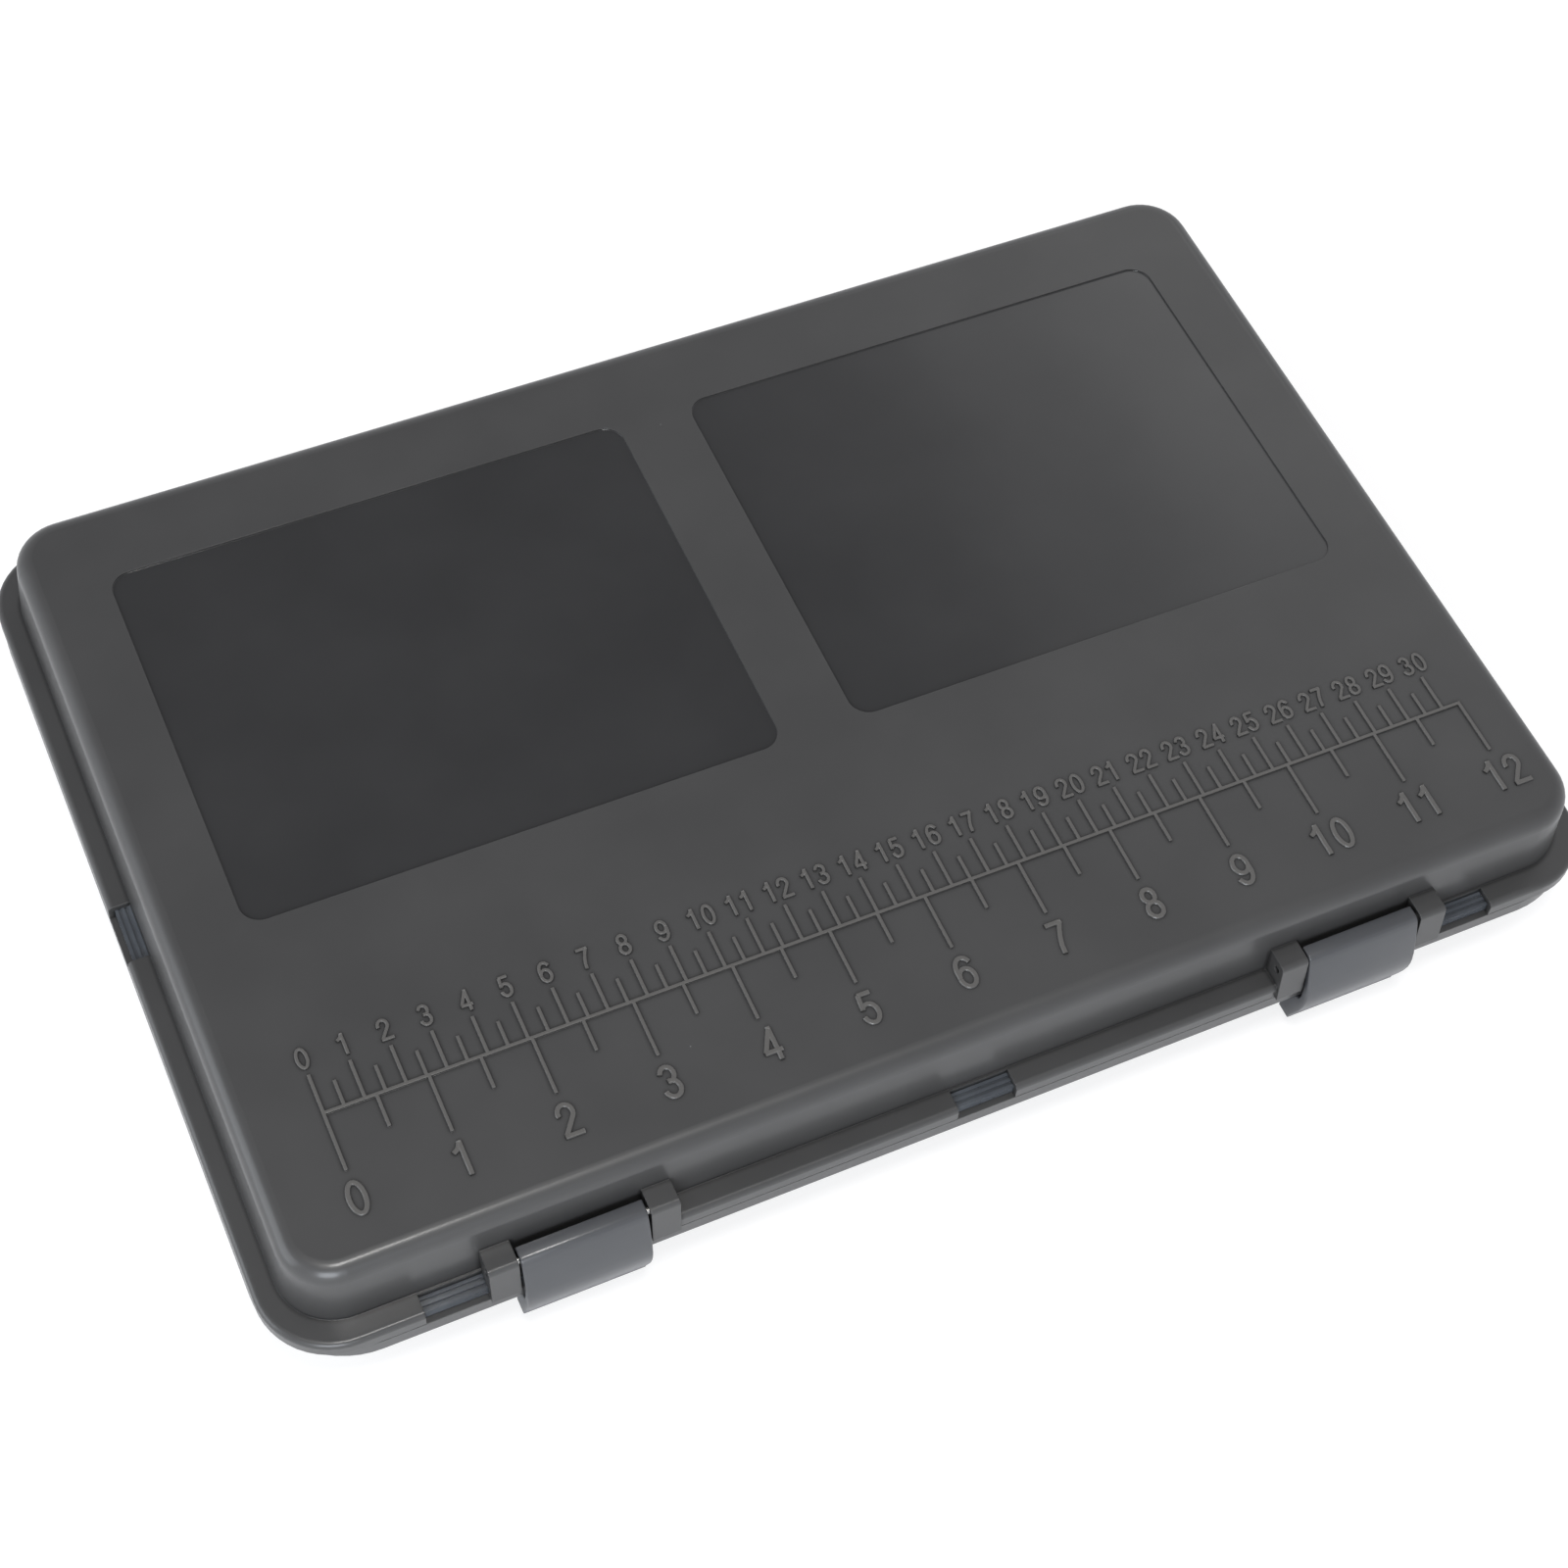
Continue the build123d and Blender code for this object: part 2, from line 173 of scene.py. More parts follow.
def spread(tree, factor, low, high):
    """The factor stretched from 0..1 to low..high."""
    sockets = {"Value": factor, "To Min": low, "To Max": high}
    return add_node(tree, "ShaderNodeMapRange", sockets).outputs["Result"]


def relief(tree, height, depth, under=None):
    """Bump as deep as depth millimetres, on top of another bump if one is given."""
    sockets = {"Height": height, "Distance": mm(depth), "Strength": 1.0}
    if under is not None:
        sockets["Normal"] = under
    return add_node(tree, "ShaderNodeBump", sockets).outputs["Normal"]


def mix_values(tree, mask, plain, masked):
    """One number where the mask is 0 and another where it is 1."""
    node = add_node(tree, "ShaderNodeMix", {0: mask, 2: plain, 3: masked}, data_type="FLOAT")
    return node.outputs[0]


def mix_colours(tree, mask, plain, masked):
    """One colour where the mask is 0 and another where it is 1."""
    node = add_node(tree, "ShaderNodeMix", {0: mask}, data_type="RGBA")
    tree.links.new(plain, node.inputs["A"])
    tree.links.new(masked, node.inputs["B"])
    return node.outputs["Result"]


def plain_colour(tree, tint):
    """A fixed colour as an output."""
    node = tree.nodes.new("ShaderNodeRGB")
    node.outputs[0].default_value = (*tint, 1.0)
    return node.outputs[0]


def join(tree, output, shader, socket):
    """Links an output to the main shader."""
    tree.links.new(output, shader.inputs[socket])


# %% [markdown]
# ## Satin moulded plastic
#
# The box is moulded in one mid-dark grey polypropylene. The mould was blasted, so the plastic is
# satin, with a grain much finer than a millimetre. Close up it isn't one colour: the melt leaves
# faint broad clouds, handling leaves slightly shinier patches, and a few pale specks of dust cling
# to it. Each of those is one noise at its own scale, mixed in weakly.
#
# No moulded edge is truly sharp. A Bevel node turns the normal near every edge as if it had a small
# radius, so edges catch the light, and where that normal leaves the true one the plastic is painted
# a little paler, a painted highlight along every edge. A thin coat gives the narrow glints.

# %% Satin colours
SATIN_DARK = (0.0345, 0.0343, 0.0342)
SATIN_LIGHT = (0.0410, 0.0407, 0.0405)
# The edge colour below is a painted highlight, laid along every edge.
EDGE_HIGHLIGHT_COLOUR = (0.085, 0.085, 0.085)
DUST_COLOUR = (0.16, 0.16, 0.16)


def dust_mask(tree, place, cell, radius):
    """1 on a few small round specks, one at most in each cell."""
    sockets = {"Vector": place, "Scale": 1.0 / mm(cell), "Randomness": 1.0}
    specks = add_node(tree, "ShaderNodeTexVoronoi", sockets)
    near = math_node(tree, "LESS_THAN", specks.outputs["Distance"], radius / cell)
    lone = math_node(tree, "GREATER_THAN", noise(tree, place, cell * 1.7), 0.6)
    return math_node(tree, "MULTIPLY", near, lone)


def satin_colour(tree, place, dark, light):
    """Cloudy grey with dust on it."""
    clouds = shades(tree, noise(tree, place, 38.0, detail=4.0), dark, light, 0.35, 0.65)
    dust = dust_mask(tree, place, 11.0, 0.16)
    mixed = add_node(tree, "ShaderNodeMix", {"Factor": dust}, data_type="RGBA")
    tree.links.new(clouds, mixed.inputs["A"])
    mixed.inputs["B"].default_value = (*DUST_COLOUR, 1.0)
    return mixed.outputs["Result"]


print("satin from", SATIN_DARK, "to", SATIN_LIGHT)

# %% Satin plastic
EDGE_RADIUS = 0.35
EDGE_HIGHLIGHT_SHARE = 0.45
PLASTIC_IOR = 1.49
COAT_ROUGHNESS = 0.16


def soft_edges(tree):
    """The normal as it would be if every sharp edge had a small radius."""
    sockets = {"Radius": mm(EDGE_RADIUS)}
    return add_node(tree, "ShaderNodeBevel", sockets, samples=8).outputs["Normal"]


def edge_mask(tree, rounded):
    """1 where the softened normal leaves the true one, which is along the edges."""
    true_normal = tree.nodes.new("ShaderNodeNewGeometry").outputs["True Normal"]
    sockets = {0: rounded, 1: true_normal}
    turn = add_node(tree, "ShaderNodeVectorMath", sockets, operation="DOT_PRODUCT").outputs["Value"]
    limits = {"Value": turn, "From Min": 0.995, "From Max": 0.90}
    return add_node(tree, "ShaderNodeMapRange", limits).outputs["Result"]


def make_satin(name, dark=SATIN_DARK, light=SATIN_LIGHT, roughness=(0.34, 0.43), grain=0.006):
    """Blasted satin plastic, painted paler along every edge as a painted highlight."""
    material, tree, shader, place = start_material(name)
    rounded = soft_edges(tree)
    # Every edge is painted paler: a painted highlight where the edges catch the light.
    edge_highlight = math_node(tree, "MULTIPLY", edge_mask(tree, rounded), EDGE_HIGHLIGHT_SHARE)
    plain = satin_colour(tree, place, dark, light)
    join(tree, mix_colours(tree, edge_highlight, plain, plain_colour(tree, EDGE_HIGHLIGHT_COLOUR)), shader, "Base Color")
    patches = noise(tree, place, 24.0, detail=3.0)
    join(tree, spread(tree, patches, *roughness), shader, "Roughness")
    fine = relief(tree, noise(tree, place, 0.35, detail=3.0), grain, rounded)
    join(tree, fine, shader, "Normal")
    shader.inputs["IOR"].default_value = PLASTIC_IOR
    shader.inputs["Coat Weight"].default_value = 0.35
    shader.inputs["Coat Roughness"].default_value = COAT_ROUGHNESS
    return material


satin_plastic = make_satin("satin_plastic")
rail_plastic = make_satin("rail_plastic", roughness=(0.4, 0.5))
latch_tints = ((0.039, 0.041, 0.045), (0.046, 0.048, 0.053))
latch_plastic = make_satin("latch_plastic", *latch_tints, roughness=(0.32, 0.42))
print("made", satin_plastic.name, rail_plastic.name, latch_plastic.name)

# %% [markdown]
# ## The lid: satin with two polished panels
#
# The panels are the same plastic, but the mould was polished there, so they reflect the room. They
# lie half a millimetre below the top, which makes them easy to find: whatever lies between the
# panel floor and the top, inside the panels' rectangle, is polished. Polished mouldings are never
# quite flat, so a very shallow, very broad wave bends the reflections.
#
# The ruler's lines and numbers are found by height too: their tops are painted a little paler and
# warmer, as a painted highlight. An Ambient Occlusion node darkens the lid close beside them, where
# they keep the light out.

# %% Where the lid is polished, raised or shaded
PANEL_FLOOR = 45.5
PANEL_CENTRE_Y = 34.4
PANEL_HALF_X = 151.0
PANEL_HALF_Y = 56.0
LID_TOP = 46.0
RIB_LOW = 0.12
RIB_HIGH = 0.4


def panel_mask(tree, place):
    """1 on the floors of the two sunk panels."""
    axes = add_node(tree, "ShaderNodeSeparateXYZ", {"Vector": place}).outputs
    off_y = math_node(tree, "SUBTRACT", axes["Y"], mm(PANEL_CENTRE_Y))
    inside = math_node(tree, "LESS_THAN", math_node(tree, "ABSOLUTE", axes["X"]), mm(PANEL_HALF_X))
    across = math_node(tree, "LESS_THAN", math_node(tree, "ABSOLUTE", off_y), mm(PANEL_HALF_Y))
    low = math_node(tree, "LESS_THAN", axes["Z"], mm(PANEL_FLOOR + 0.1))
    high = math_node(tree, "GREATER_THAN", axes["Z"], mm(PANEL_FLOOR - 0.4))
    sides = math_node(tree, "MULTIPLY", inside, across)
    return math_node(tree, "MULTIPLY", sides, math_node(tree, "MULTIPLY", low, high))


def rib_mask(tree, place):
    """0 at the lid's top and below it, and 1 at the top of the raised lines and numbers."""
    height = add_node(tree, "ShaderNodeSeparateXYZ", {"Vector": place}).outputs["Z"]
    limits = {"Value": height, "From Min": mm(LID_TOP + RIB_LOW), "From Max": mm(LID_TOP + RIB_HIGH)}
    return add_node(tree, "ShaderNodeMapRange", limits).outputs["Result"]


def near_shade(tree, colour, reach, depth):
    """The colour, darker where other surfaces crowd within reach millimetres."""
    sockets = {"Distance": mm(reach)}
    open_air = add_node(tree, "ShaderNodeAmbientOcclusion", sockets, samples=8).outputs["AO"]
    limits = {"Value": open_air, "From Min": 0.68, "From Max": 0.98, "To Min": 1.0 - depth}
    factor = add_node(tree, "ShaderNodeMapRange", limits).outputs["Result"]
    sockets = {0: colour, "Scale": factor}
    return add_node(tree, "ShaderNodeVectorMath", sockets, operation="SCALE").outputs["Vector"]


print("polished floors at", PANEL_FLOOR, "mm, lid top at", LID_TOP, "mm")

# %% Lid plastic
POLISHED_DARK = (0.028, 0.028, 0.0285)
POLISHED_LIGHT = (0.032, 0.032, 0.0325)
RIB_TOP_HIGHLIGHT = (0.078, 0.075, 0.071)
HALO_REACH = 1.3
HALO_DEPTH = 0.7


def make_lid_plastic():
    """Satin plastic that turns glossy on the floors of the panels."""
    material, tree, shader, place = start_material("lid_plastic")
    polished = panel_mask(tree, place)
    satin = satin_colour(tree, place, SATIN_DARK, SATIN_LIGHT)
    shaded = near_shade(tree, satin, HALO_REACH, HALO_DEPTH)
    # The tops of the raised lines and numbers take a paler colour: a painted highlight.
    ribbed = mix_colours(tree, rib_mask(tree, place), shaded, plain_colour(tree, RIB_TOP_HIGHLIGHT))
    gloss = satin_colour(tree, place, POLISHED_DARK, POLISHED_LIGHT)
    join(tree, mix_colours(tree, polished, ribbed, gloss), shader, "Base Color")
    satin_rough = spread(tree, noise(tree, place, 24.0, detail=3.0), 0.36, 0.45)
    gloss_rough = spread(tree, noise(tree, place, 16.0, detail=5.0), 0.06, 0.13)
    join(tree, mix_values(tree, polished, satin_rough, gloss_rough), shader, "Roughness")
    grain = math_node(tree, "MULTIPLY", noise(tree, place, 0.35, detail=3.0), 0.006)
    wave = math_node(tree, "MULTIPLY", noise(tree, place, 70.0, detail=1.0), 0.35)
    height = mix_values(tree, polished, grain, wave)
    join(tree, relief(tree, height, 1.0, soft_edges(tree)), shader, "Normal")
    shader.inputs["IOR"].default_value = PLASTIC_IOR
    shader.inputs["Coat Weight"].default_value = 0.3
    shader.inputs["Coat Roughness"].default_value = COAT_ROUGHNESS
    return material


lid_plastic = make_lid_plastic()
print("made", lid_plastic.name, "with", len(lid_plastic.node_tree.nodes), "nodes")

# %% [markdown]
# ## Rubber, steel, foam and pin heads
#
# The seal is a smooth slate-blue rubber with a wet shine and faint waves in it. The hinge and
# latch pins are drawn steel wire, bright with fine rings. The foam is closed-cell: matt, nearly
# black and pitted with tiny cells, which a Voronoi pattern gives. Each rig pin is one node with
# two finishes, a steel shaft under a glossy head, told apart by height.

# %% Rubber and steel


def make_seal_rubber():
    """Glossy slate-blue rubber."""
    material, tree, shader, place = start_material("seal_rubber")
    cloud = noise(tree, place, 9.0, detail=4.0)
    tint = shades(tree, cloud, (0.045, 0.050, 0.058), (0.075, 0.083, 0.094), 0.3, 0.7)
    join(tree, tint, shader, "Base Color")
    join(tree, spread(tree, noise(tree, place, 3.0, detail=4.0), 0.10, 0.28), shader, "Roughness")
    join(tree, relief(tree, noise(tree, place, 1.1, detail=3.0), 0.02), shader, "Normal")
    shader.inputs["IOR"].default_value = 1.52
    return material


def make_pin_steel():
    """Drawn steel wire with fine rings round it."""
    material, tree, shader, place = start_material("pin_steel")
    rings = add_node(tree, "ShaderNodeMapping", {"Vector": place, "Scale": (8.0, 0.6, 0.6)})
    grain = noise(tree, rings.outputs["Vector"], 1.2, detail=4.0)
    tint = shades(tree, grain, (0.44, 0.43, 0.42), (0.64, 0.63, 0.61), 0.3, 0.7)
    join(tree, tint, shader, "Base Color")
    join(tree, spread(tree, grain, 0.16, 0.34), shader, "Roughness")
    join(tree, relief(tree, grain, 0.006), shader, "Normal")
    shader.inputs["Metallic"].default_value = 1.0
    return material


seal_rubber = make_seal_rubber()
pin_steel = make_pin_steel()
print("made", seal_rubber.name, pin_steel.name)

# %% Foam and pin heads
FOAM_CELL = 0.55
PIN_NECK_Z = 21.0


def make_foam(name, dark, light, cell=FOAM_CELL):
    """Matt closed-cell foam."""
    material, tree, shader, place = start_material(name)
    sockets = {"Vector": place, "Scale": 1.0 / mm(cell)}
    cells = add_node(tree, "ShaderNodeTexVoronoi", sockets).outputs["Distance"]
    cloud = noise(tree, place, 12.0, detail=3.0)
    # The colour is darker in the cells' pits: painted shade in the hollows, mixed with random cloudy
    # tone.
    pit_shade = math_node(tree, "MULTIPLY", cells, 0.6)
    blend = math_node(tree, "ADD", pit_shade, math_node(tree, "MULTIPLY", cloud, 0.5))
    join(tree, shades(tree, blend, dark, light, 0.2, 0.8), shader, "Base Color")
    join(tree, spread(tree, cells, 0.95, 0.78), shader, "Roughness")
    soft = relief(tree, noise(tree, place, 5.0, detail=2.0), 0.12)
    join(tree, relief(tree, cells, 0.07, soft), shader, "Normal")
    return material


def make_rig_pin_finish():
    """Steel below the neck, glossy plastic above it."""
    material, tree, shader, place = start_material("rig_pin_finish")
    height = add_node(tree, "ShaderNodeSeparateXYZ", {"Vector": place}).outputs["Z"]
    head = math_node(tree, "GREATER_THAN", height, mm(PIN_NECK_Z))
    steel = shades(tree, noise(tree, place, 0.6), (0.42, 0.42, 0.41), (0.6, 0.6, 0.58))
    plastic = shades(tree, noise(tree, place, 1.5), (0.028, 0.030, 0.033), (0.040, 0.042, 0.046))
    join(tree, mix_colours(tree, head, steel, plastic), shader, "Base Color")
    join(tree, mix_values(tree, head, 1.0, 0.0), shader, "Metallic")
    join(tree, spread(tree, noise(tree, place, 0.8), 0.14, 0.3), shader, "Roughness")
    join(tree, relief(tree, noise(tree, place, 0.4), 0.006), shader, "Normal")
    return material


foam_black = make_foam("foam_black", (0.012, 0.012, 0.013), (0.026, 0.026, 0.028))
foam_grey = make_foam("foam_grey", (0.030, 0.031, 0.033), (0.052, 0.053, 0.056), cell=0.7)
rig_pin_finish = make_rig_pin_finish()
print("made", foam_black.name, foam_grey.name, rig_pin_finish.name)

# %% [markdown]
# ## Finishes on the construction pieces
#
# The hard pieces already have their true shape, so they keep their own meshes and only take a
# material in their slot.

# %% Give each hard piece its finish
NODE_FINISH = {
    "base_tray": satin_plastic,
    "lid_shell": lid_plastic,
    "lid_seal": seal_rubber,
    "latch_pin_left": pin_steel,
    "latch_pin_right": pin_steel,
    "hinge_pin_left": pin_steel,
    "hinge_pin_right": pin_steel,
    "rail_left": rail_plastic,
    "rail_centre": rail_plastic,
    "rail_right": rail_plastic,
    "rig_pins_left": rig_pin_finish,
    "rig_pins_right": rig_pin_finish,
}
for name, finish in NODE_FINISH.items():
    mesh = nodes[name].data
    mesh.materials.clear()
    mesh.materials.append(finish)
print("finished", len(NODE_FINISH), "construction pieces")

# %% [markdown]
# ## The ruler's numbers
#
# The numbers stand up from the lid like the ruler's lines, with a flat-topped stroke of even
# width, as a small cutter leaves it in a mould. A font would bring another style, so each digit is
# drawn as a few strokes on a grid one unit high: straight runs and arcs of ellipses. Every stroke
# becomes a bar with a flat top and sloping sides, whose lower half is sunk in the lid.

# %% Digits as strokes


def arc(centre_x, centre_y, radius_x, radius_y, start, end, steps=14):
    """Points along part of an ellipse, from start to end degrees."""
    turns = [math.radians(start + (end - start) * step / steps) for step in range(steps + 1)]
    return [(centre_x + radius_x * math.cos(t), centre_y + radius_y * math.sin(t)) for t in turns]


def turned(strokes, width):
    """The strokes turned upside down inside a digit of that width."""
    return [[(width - x, 1.0 - y) for x, y in stroke] for stroke in strokes]


DIGIT_WIDTH = 0.50
OVER = 0.07
SIX = [
    arc(0.255, 0.315, 0.235, 0.315, 0, 360, 24),
    arc(0.285, 0.58, 0.265, 0.42, 30, 180) + [(0.02, 0.32)],
]
DIGITS = {
    "0": [arc(0.25, 0.5, 0.235, 0.5, 0, 360, 28)],
    "1": [
        [(0.02, 0.74), (0.14, 0.80), (0.24, 0.90), (0.29, 1.03)],
        [(0.30, 1.0 + OVER), (0.30, -OVER)],
    ],
    "2": [
        arc(0.245, 0.735, 0.225, 0.265, 200, -35) + [(0.02, 0.02)],
        [(-0.03, 0.0), (0.50 + OVER, 0.0)],
    ],
    "3": [
        arc(0.24, 0.755, 0.205, 0.245, 172, -90) + [(0.17, 0.51)],
        [(0.17, 0.53)] + arc(0.24, 0.27, 0.235, 0.27, 90, -172),
    ],
    "4": [
        [(0.38, -OVER), (0.38, 1.0 + OVER)],
        [(0.38, 1.0), (0.00, 0.26)],
        [(-0.04, 0.26), (0.53, 0.26)],
    ],
    "5": [
        [(0.48, 1.0), (0.06, 1.0)],
        [(0.10, 1.0), (0.05, 0.47)],
        [(0.05, 0.50)] + arc(0.24, 0.325, 0.24, 0.325, 128, -168),
    ],
    "6": SIX,
    "7": [
        [(-0.02, 1.0), (0.53, 1.0)],
        [(0.49, 1.0), (0.37, 0.76), (0.27, 0.50), (0.20, 0.24), (0.17, -OVER)],
    ],
    "8": [
        arc(0.25, 0.765, 0.195, 0.235, 0, 360, 22),
        arc(0.25, 0.265, 0.235, 0.265, 0, 360, 24),
    ],
    "9": turned(SIX, DIGIT_WIDTH),
}
print("digits", "".join(DIGITS))

# %% [markdown]
# A number is its digits side by side, centred on its tick. One curve holds all the numbers of a
# scale, and a small closed section drawn along it gives the bars. Turned into a mesh, it rides on
# the lid. Where two strokes of a digit cross, one lies a hair higher than the other.

# %% Numbers along a scale
RULER_START_X = -149.3
DIGIT_STEP = 0.76
STROKE_RISE = 0.42
LAYER_STEP = 0.01
STROKE_TOP = 0.70
STROKE_CORNER = 0.07


def stroke_section(stroke):
    """A closed curve shaped like the section of a stroke: wide at the lid, narrower on top."""
    section = bpy.data.curves.new("stroke_section", "CURVE")
    section.dimensions = "2D"
    half = stroke / 2
    top = half * STROKE_TOP
    shoulder = (top + STROKE_CORNER / 2, STROKE_RISE - STROKE_CORNER)
    right = [(half, 0.0), shoulder, (top - STROKE_CORNER, STROKE_RISE)]
    upper = right + [(-x, y) for x, y in reversed(right)]
    lower = [(-x, -y) for x, y in upper[1:-1]]
    spline = section.splines.new("POLY")
    spline.points.add(len(upper + lower) - 1)
    spline.use_cyclic_u = True
    for point, (x, y) in zip(spline.points, upper + lower):
        point.co = (*mm(x, y, 0.0), 1.0)
    holder = bpy.data.objects.new("stroke_section", section)
    bpy.context.scene.collection.objects.link(holder)
    return holder


def number_curve(name, labels, height, stroke):
    """A mesh of raised numbers: labels are (text, centre x, centre y) in millimetres."""
    curve = bpy.data.curves.new(name, "CURVE")
    curve.dimensions = "3D"
    section = stroke_section(stroke)
    curve.bevel_mode = "OBJECT"
    curve.bevel_object = section
    curve.use_fill_caps = True
    curve.twist_mode = "Z_UP"
    tall = height - stroke
    for text, centre_x, centre_y in labels:
        full = (len(text) - 1) * DIGIT_STEP + DIGIT_WIDTH
        for place, digit in enumerate(text):
            left = centre_x + (place * DIGIT_STEP - full / 2) * tall
            for layer, stroke_points in enumerate(DIGITS[digit]):
                level = LID_TOP + layer * LAYER_STEP
                closed = math.dist(stroke_points[0], stroke_points[-1]) < 1e-6
                kept = stroke_points[:-1] if closed else stroke_points
                spline = curve.splines.new("POLY")
                spline.points.add(len(kept) - 1)
                spline.use_cyclic_u = closed
                for point, (x, y) in zip(spline.points, kept):
                    point.co = (*mm(left + x * tall, centre_y + (y - 0.5) * tall, level), 1.0)
    piece = bpy.data.objects.new(name, curve)
    bpy.context.scene.collection.objects.link(piece)
    clear_selection()
    piece.select_set(True)
    bpy.context.view_layer.objects.active = piece
    bpy.ops.object.convert(target="MESH")
    bpy.ops.object.shade_smooth_by_angle(angle=math.radians(30))
    made = bpy.context.object
    bpy.data.objects.remove(section)
    return made


# %% Centimetre and inch numbers
CM_STEP = 10.0
CM_LAST = 30
CM_NUMBER_Y = -59.0
CM_NUMBER_HEIGHT = 6.05
CM_STROKE = 0.98
INCH_STEP = 25.4
INCH_LAST = 12
INCH_NUMBER_Y = -96.65
INCH_NUMBER_HEIGHT = 9.4
INCH_STROKE = 1.45


def scale_labels(last, step, y):
    """The number of each tick, with its place."""
    return [(str(count), RULER_START_X + count * step, y) for count in range(last + 1)]


cm_labels = scale_labels(CM_LAST, CM_STEP, CM_NUMBER_Y)
inch_labels = scale_labels(INCH_LAST, INCH_STEP, INCH_NUMBER_Y)
cm_numbers = number_curve("centimetre_numbers", cm_labels, CM_NUMBER_HEIGHT, CM_STROKE)
inch_numbers = number_curve("inch_numbers", inch_labels, INCH_NUMBER_HEIGHT, INCH_STROKE)
for piece in (cm_numbers, inch_numbers):
    piece.data.materials.clear()
    piece.data.materials.append(lid_plastic)
    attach(piece, "lid")
    print(piece.name, len(piece.data.polygons), "faces")

# %% [markdown]
# ## Latches
#
# A latch is one bowed leaf that hangs on its pin and thickens into a foot at the bottom, where a
# finger pulls it. Its section is the same all the way along, so it is drawn once as a flat curve,
# with a second ring for the pin's bore, and pulled out along X with a small round bevel.

# %% The latch's section
LATCH_PIN_Y = -118.3
LATCH_PIN_Z = 31.0
LATCH_BORE = 1.1
LATCH_OUTSIDE = [
    (-116.2, 33.6), (-118.9, 33.7), (-119.8, 33.4), (-120.4, 32.7), (-120.9, 31.5), (-121.9, 28.5),
    (-122.9, 25.0), (-123.7, 22.0), (-124.12, 19.5), (-124.18, 17.5), (-124.0, 15.5),
    (-123.3, 12.5), (-122.3, 9.5), (-121.2, 6.5), (-120.85, 5.9), (-120.6, 4.4),
]
LATCH_INSIDE = [
    (-116.3, 4.4), (-116.1, 8.5), (-116.4, 12.0), (-117.1, 14.5), (-118.3, 15.4),
    (-120.2, 15.6), (-121.5, 16.3), (-121.9, 18.0), (-121.6, 21.8), (-120.8, 25.5),
    (-119.6, 28.5),
]
LATCH_BARREL = 2.7


def ring_points(radius, start, end, steps):
    """Points round the pin from start to end degrees."""
    turns = [math.radians(start + (end - start) * step / steps) for step in range(steps + 1)]
    return [(LATCH_PIN_Y + radius * math.cos(t), LATCH_PIN_Z + radius * math.sin(t)) for t in turns]


def add_loop(curve, points):
    """A closed line through the points, in millimetres."""
    spline = curve.splines.new("POLY")
    spline.points.add(len(points) - 1)
    spline.use_cyclic_u = True
    for point, (x, y) in zip(spline.points, points):
        point.co = (*mm(x, y, 0.0), 1.0)


print("latch section", len(LATCH_OUTSIDE) + len(LATCH_INSIDE), "points and a barrel")

# %% Latches
LATCH_CENTRE_X = 103.8
LATCH_WIDTH = 31.3
LATCH_EDGE = 0.4
BARREL_START = -118
BARREL_END = 32


def make_latch(side, centre_x):
    """One latch in the place of its plain solid."""
    section = bpy.data.curves.new("latch_leaf_" + side, "CURVE")
    section.dimensions = "2D"
    section.fill_mode = "BOTH"
    section.extrude = mm(LATCH_WIDTH / 2 - LATCH_EDGE)
    section.bevel_depth = mm(LATCH_EDGE)
    section.bevel_resolution = 2
    section.offset = -mm(LATCH_EDGE)
    barrel = ring_points(LATCH_BARREL, BARREL_START, BARREL_END, 10)
    add_loop(section, LATCH_OUTSIDE + LATCH_INSIDE + barrel)
    add_loop(section, ring_points(LATCH_BORE, 0, 330, 11))
    piece = bpy.data.objects.new("latch_leaf_" + side, section)
    bpy.context.scene.collection.objects.link(piece)
    piece.location = mm(centre_x, 0.0, 0.0)
    piece.rotation_euler = (math.radians(90.0), 0.0, math.radians(90.0))
    clear_selection()
    piece.select_set(True)
    bpy.context.view_layer.objects.active = piece
    bpy.ops.object.convert(target="MESH")
    leaf = bpy.context.object
    apply_place(leaf)
    bpy.ops.object.mode_set(mode="EDIT")
    bpy.ops.mesh.select_all(action="SELECT")
    bpy.ops.mesh.remove_doubles(threshold=mm(0.01))
    bpy.ops.mesh.normals_make_consistent(inside=False)
    bpy.ops.object.mode_set(mode="OBJECT")
    bpy.ops.object.shade_smooth_by_angle(angle=math.radians(35))
    leaf.data.materials.clear()
    leaf.data.materials.append(latch_plastic)
    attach(leaf, "latch_" + side)
    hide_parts("latch_" + side)
    print(leaf.name, len(leaf.data.polygons), "faces")
    return leaf


make_latch("left", -LATCH_CENTRE_X)
make_latch("right", LATCH_CENTRE_X)

# %% [markdown]
# ## Foam strips
#
# Each rail holds a strip of firm foam that is slit across at regular steps, and the line of a rig
# is pulled down into a slit. A cut in foam opens a little at its mouth, so the cutter is a thin
# wedge. One wedge is repeated by an Array modifier, a Boolean cuts them all at once, and a small
# bevel softens what the knife left.

# %% Foam strips
SLIT_STEP = 10.0
SLIT_MOUTH = 1.3
SLIT_FOOT = 0.5
SLIT_DEPTH = 5.0
FOAM_EDGE = 0.45


def add_block(name, low, high):
    """A box primitive between two corners in millimetres, with its place applied."""
    clear_selection()
    middle = [(a + b) / 2 for a, b in zip(low, high)]
    bpy.ops.mesh.primitive_cube_add(size=1.0, location=mm(*middle))
    piece = bpy.context.object
    piece.name = name
    piece.scale = mm(*[b - a for a, b in zip(low, high)])
    apply_place(piece)
    return piece


